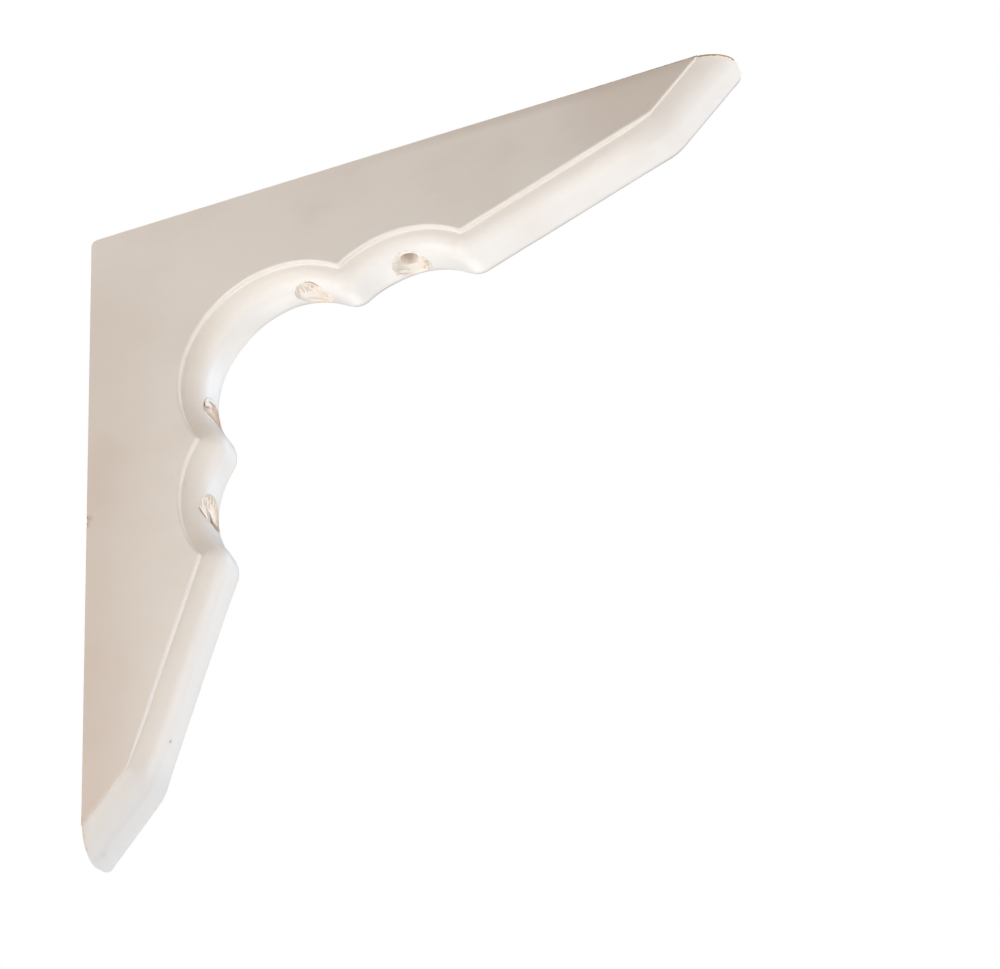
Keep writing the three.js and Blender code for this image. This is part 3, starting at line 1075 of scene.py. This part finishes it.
def seenOrLit(tree, lit, seen, output):
    # the camera sees one shader, and the light comes from the other
    rays = addNode(tree, "ShaderNodeLightPath")
    mixed = addNode(tree, "ShaderNodeMixShader")
    tree.links.new(rays.outputs["Is Camera Ray"], mixed.inputs["Fac"])
    tree.links.new(lit, mixed.inputs[1])
    tree.links.new(seen, mixed.inputs[2])
    tree.links.new(mixed.outputs["Shader"], tree.nodes[output].inputs["Surface"])


def floorMaterial():
    material, tree, shader = startMaterial("paleFloor")
    place = addNode(tree, "ShaderNodeTexCoord").outputs["Object"]
    cloud = remap(noiseOver(place, 3, 2), 0.3, 0.7)
    pale = studio["floorColour"]
    clouded = tuple(value * studio["floorCloud"] for value in pale)
    tree.links.new(blendColours(cloud, pale, clouded), shader.inputs["Base Color"])
    shader.inputs["Roughness"].default_value = studio["floorRoughness"]
    # seen straight on it is nearly as bright as the backdrop, but it gives the bracket no more light
    shine = addNode(tree, "ShaderNodeEmission", {"Color": (*pale, 1), "Strength": studio["floorGlow"]})
    seenOrLit(tree, shader.outputs["BSDF"], shine.outputs["Emission"], "Material Output")
    return material


def buildFloor():
    half = studio["floorHalf"]
    mesh = bpy.data.meshes.new("studioFloor")
    corners = [(-half, -half), (half, -half), (half, half), (-half, half)]
    mesh.from_pydata([(x, y, studio["floorHeight"]) for x, y in corners], [], [(0, 1, 2, 3)])
    mesh.materials.append(floorMaterial())
    addObject("studioFloor", mesh)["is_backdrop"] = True


def buildWorld():
    # the backdrop shows white, and the light that it gives is dimmer
    world = bpy.data.worlds.new("studioAir")
    bpy.context.scene.world = world
    world.use_nodes = True
    tree = world.node_tree
    soft = tree.nodes["Background"]
    soft.inputs["Color"].default_value = (*studio["ambient"], 1)
    soft.inputs["Strength"].default_value = studio["ambientStrength"]
    seen = addNode(tree, "ShaderNodeBackground", {"Color": (*studio["backdrop"], 1), "Strength": 1.0})
    seenOrLit(tree, soft.outputs["Background"], seen.outputs["Background"], "World Output")


lamps = {  # place in metres, size of the panel, watts, colour
    "lowLeftPanel": ((-0.69, -0.32, -0.66), 0.6, 8.8, (0.95, 0.98, 1.0)),
    "lowRightPanel": ((0.55, 0.0, -0.66), 0.6, 1.0, (0.70, 0.90, 1.0)),
    "rightPanel": ((1.07, -0.09, -0.25), 0.6, 5.5, (1.0, 0.93, 0.92)),
    "highRightPanel": ((0.77, 0.65, 0.45), 0.6, 4.6, (0.62, 0.81, 1.0)),
    "frontRightPanel": ((1.0, -0.46, 0.06), 0.6, 0.7, (1.0, 0.90, 0.50)),
    "behindPanel": ((-0.17, 0.97, -0.50), 0.6, 4.0, (1.0, 0.95, 0.92)),
    "cornerLamp": ((-0.15, -0.50, -0.05), 0.3, 1.12, (1.0, 0.845, 0.70)),
    "backFill": ((-0.45, 0.50, 1.05), 0.6, 7.0, (1.0, 0.955, 0.91)),
}
lampAim = Vector((0.07, 0.0, 0.02))


def buildLamps():
    for name, (place, size, watts, colour) in lamps.items():
        light = bpy.data.lights.new(name, "AREA")
        light.size = size
        light.energy = watts
        light.color = colour
        lamp = addObject(name, light)
        lamp.location = place
        lamp.rotation_euler = (lampAim - lamp.location).to_track_quat("-Z", "Y").to_euler()
        lamp.visible_camera = False


buildFloor()
buildWorld()
buildLamps()
bpy.context.scene.view_settings.view_transform = "Standard"
bpy.context.scene.view_settings.look = "None"
print("studio lit")


# The camera, low and to the right, as the photograph was taken

photoView = {
    "frameWidth": 1000,
    "frameHeight": 969,
    "azimuth": math.radians(21.083),
    "elevation": math.radians(-31.725),
    "roll": math.radians(3.614),
    "distance": 0.9346,  # metres, along the view to the top corner of the front face
    "pixelsPerMetre": 3382.0,  # at that distance
    "cornerPixelX": 91.22,  # where that corner shows
    "cornerPixelY": 241.45,
    "sensorWidth": 36.0,  # in the lens's own millimetres
    "clipStart": 0.01,
}


def buildCamera():
    azimuth = photoView["azimuth"]
    elevation = photoView["elevation"]
    level = math.cos(elevation)
    towardsCamera = Vector((math.sin(azimuth) * level, -math.cos(azimuth) * level, math.sin(elevation)))
    ahead = -towardsCamera
    levelRight = ahead.cross(Vector((0, 0, 1))).normalized()
    levelDown = ahead.cross(levelRight)
    roll = photoView["roll"]
    right = levelRight * math.cos(roll) + levelDown * math.sin(roll)
    down = levelDown * math.cos(roll) - levelRight * math.sin(roll)
    scale = photoView["pixelsPerMetre"]
    corner = Vector((lowCorner.x, lowCorner.y, highCorner.z))
    fromMiddle = (
        right * ((photoView["cornerPixelX"] - photoView["frameWidth"] / 2) / scale)
        + down * ((photoView["cornerPixelY"] - photoView["frameHeight"] / 2) / scale))
    lens = bpy.data.cameras.new("photoCamera")
    lens.sensor_fit = "HORIZONTAL"
    lens.sensor_width = photoView["sensorWidth"]
    lens.lens = photoView["sensorWidth"] * scale * photoView["distance"] / photoView["frameWidth"]
    lens.clip_start = photoView["clipStart"]
    camera = addObject("photoCamera", lens)
    place = corner - fromMiddle - ahead * photoView["distance"]
    turn = Matrix((right, -down, towardsCamera)).transposed()
    camera.matrix_world = Matrix.Translation(place) @ turn.to_4x4()
    bpy.context.scene.camera = camera


buildCamera()
print("camera set")

sizes = {"cad": frameBox, "visual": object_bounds()}
{name: [list(corner) for corner in box] for name, box in sizes.items()}
